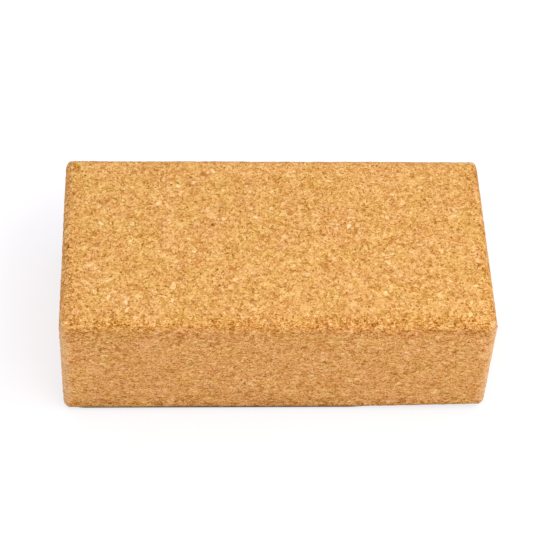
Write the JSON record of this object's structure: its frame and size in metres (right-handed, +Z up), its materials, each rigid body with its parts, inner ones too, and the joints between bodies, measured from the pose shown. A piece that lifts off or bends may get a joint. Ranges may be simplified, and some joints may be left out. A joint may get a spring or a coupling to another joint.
{
  "type": "yoga block",
  "caption": "Rectangular yoga block of pressed cork granules with rounded edges, to stand, sit or lean on in a pose.",
  "frame": {"origin": "middle of the underside", "axes": "+Z up through the thickness, +X along the length, +Y towards the back"},
  "size_m": [0.23, 0.12, 0.075],
  "materials": {
    "fine_cork": "matt, sanded agglomerated cork",
    "pale_cork": "matt, sanded pale cork granule",
    "amber_cork": "matt, sanded amber cork granule",
    "russet_cork": "matt, sanded russet cork granule",
    "bark": "matt, dark outer-bark fleck",
    "polyurethane_binder": "thin cured film, satin"
  },
  "bodies": {
    "root": {"cork_matrix": "fine_cork", "pale_granules": "pale_cork", "amber_granules": "amber_cork", "russet_granules": "russet_cork", "bark_flecks": "bark", "binder": "polyurethane_binder"}
  },
  "joints": []
}
